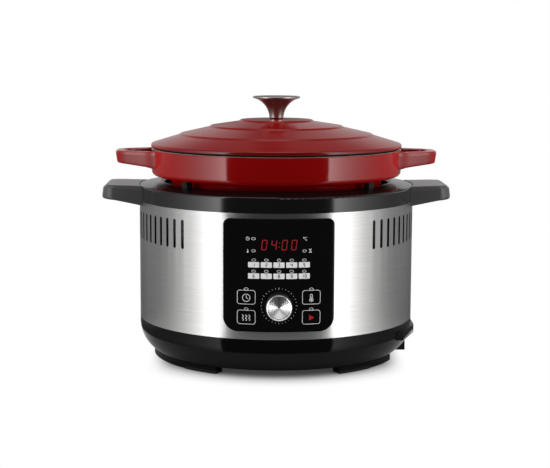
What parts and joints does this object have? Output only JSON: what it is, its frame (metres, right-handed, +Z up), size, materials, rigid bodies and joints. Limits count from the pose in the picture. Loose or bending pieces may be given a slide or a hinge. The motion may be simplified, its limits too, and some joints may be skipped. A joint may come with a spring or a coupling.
{
  "type": "multicooker",
  "caption": "Round electric multicooker: steel base with panel, keys and dial, lift-out enamelled iron pot with loop handles, lift-off stepped lid with a flared knob.",
  "frame": {"origin": "on the floor, under the middle of the round base", "axes": "+Z up, front with the control panel towards -Y, handles along X"},
  "size_m": [0.368, 0.3064, 0.2752],
  "materials": {
    "shell_plastic": "satin black moulding",
    "foot_rubber": "matt black",
    "wall_steel": "brushed round the body",
    "ring_plastic": "gloss black",
    "handle_plastic": "satin black with a fine grain",
    "rest_pad_rubber": "matt grey",
    "liner_steel": "drawn sheet",
    "plate_aluminium": "turned casting",
    "element_steel": "dull heat-stained",
    "sensor_steel": "plain",
    "housing_plastic": "moulded",
    "screw_steel": "zinc plated",
    "panel_plastic": "high gloss black",
    "light_plastic": "milky",
    "dial_aluminium": "turned face",
    "contact_brass": "plain",
    "display_plastic": "dark red",
    "board_laminate": "green laminate",
    "lead_rubber": "insulation",
    "pot_enamel": "deep red gloss enamel on cast iron",
    "lid_enamel": "dusty red satin enamel on cast iron",
    "knob_steel": "polished"
  },
  "bodies": {
    "base": {"bottom_shell": "shell_plastic", "bottom_cover": "shell_plastic", "front_left_foot": "shell_plastic", "front_right_foot": "shell_plastic", "rear_left_foot": "shell_plastic", "rear_right_foot": "shell_plastic", "board_bracket": "shell_plastic", "inlet_housing": "shell_plastic", "foot_pads": "foot_rubber", "steel_wall": "wall_steel", "top_ring": "ring_plastic", "left_handle": "handle_plastic", "right_handle": "handle_plastic", "pot_rest_pads": "rest_pad_rubber", "inner_liner": "liner_steel", "heating_plate": "plate_aluminium", "heating_element": "element_steel", "heater_supports": "element_steel", "fuse_clip": "element_steel", "thermal_fuse": "element_steel", "sensor_spring": "sensor_steel", "sensor_housing": "housing_plastic", "encoder": "housing_plastic", "key_switches": "housing_plastic", "relay": "housing_plastic", "transformer": "housing_plastic", "terminal_block": "housing_plastic", "inlet_socket": "housing_plastic", "bottom_screws": "screw_steel", "wall_screws": "screw_steel", "ring_screws": "screw_steel", "handle_screws": "screw_steel", "liner_screws": "screw_steel", "heater_screws": "screw_steel", "sensor_screws": "screw_steel", "panel_screws": "screw_steel", "board_screws": "screw_steel", "control_panel": "panel_plastic", "light_guides": "light_plastic", "inlet_pins": "contact_brass", "display_module": "display_plastic", "control_board": "board_laminate", "power_board": "board_laminate", "mains_leads": "lead_rubber", "heater_leads": "lead_rubber", "ribbon_cable": "lead_rubber"},
    "pot": {"pot": "pot_enamel"},
    "lid": {"lid": "lid_enamel", "lid_knob": "knob_steel", "knob_screw": "screw_steel", "knob_washer": "screw_steel"},
    "dial": {"dial": "dial_aluminium", "encoder_shaft": "contact_brass"},
    "sensor": {"sensor_cap": "sensor_steel", "sensor_clip": "sensor_steel"},
    "upper_left_key": {"upper_left_key": "panel_plastic"},
    "lower_left_key": {"lower_left_key": "panel_plastic"},
    "upper_right_key": {"upper_right_key": "panel_plastic"},
    "lower_right_key": {"lower_right_key": "panel_plastic"}
  },
  "joints": [
    {"name": "pot_lift", "type": "slide", "parent": "base", "child": "pot", "axis": [0, 0, 1], "range_m": [0, 0.15]},
    {"name": "lid_lift", "type": "slide", "parent": "pot", "child": "lid", "axis": [0, 0, 1], "range_m": [0, 0.1]},
    {"name": "dial_turn", "type": "hinge", "parent": "base", "child": "dial", "pos_m": [0, -0.1478, 0.0758], "axis": [0, -1, 0], "continuous": true},
    {"name": "sensor_press", "type": "slide", "parent": "base", "child": "sensor", "axis": [0, 0, 1], "range_m": [-0.003, 0], "stiffness_N_per_m": 400, "springref_m": 0.004, "deforming": ["sensor_spring"]},
    {"name": "upper_left_key_press", "type": "slide", "parent": "base", "child": "upper_left_key", "axis": [0, 1, 0], "range_m": [0, 0.0006], "stiffness_N_per_m": 1500},
    {"name": "lower_left_key_press", "type": "slide", "parent": "base", "child": "lower_left_key", "axis": [0, 1, 0], "range_m": [0, 0.0006], "stiffness_N_per_m": 1500},
    {"name": "upper_right_key_press", "type": "slide", "parent": "base", "child": "upper_right_key", "axis": [0, 1, 0], "range_m": [0, 0.0006], "stiffness_N_per_m": 1500},
    {"name": "lower_right_key_press", "type": "slide", "parent": "base", "child": "lower_right_key", "axis": [0, 1, 0], "range_m": [0, 0.0006], "stiffness_N_per_m": 1500}
  ]
}
